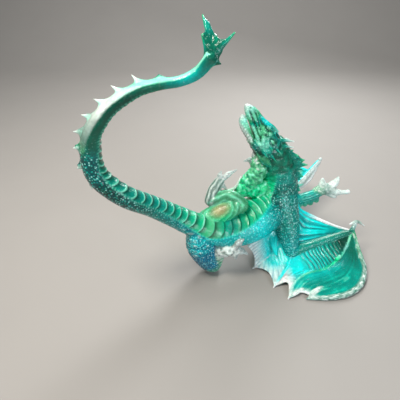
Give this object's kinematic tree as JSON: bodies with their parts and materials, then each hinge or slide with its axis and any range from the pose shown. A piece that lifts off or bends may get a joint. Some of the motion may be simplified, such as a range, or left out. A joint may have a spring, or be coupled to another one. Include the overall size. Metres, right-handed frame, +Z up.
{
  "type": "dragon statue",
  "caption": "Dragon statue cast in one piece from tinted clear resin: it lies curled belly up, jaws open to the sky, wings spread, tail arched over to a barbed fin.",
  "frame": {"origin": "middle of the bounding box, on the plane the statue stands on", "axes": "+X from the tail to the left wing, along the longest extent; +Y from the left wing and the left flank to the right wing; +Z up"},
  "size_m": [0.3263, 0.2355, 0.2933],
  "materials": {
    "resin": "clear cast resin tinted deep green to cyan, glossy"
  },
  "bodies": {
    "root": {"dragon": "resin"}
  },
  "joints": []
}
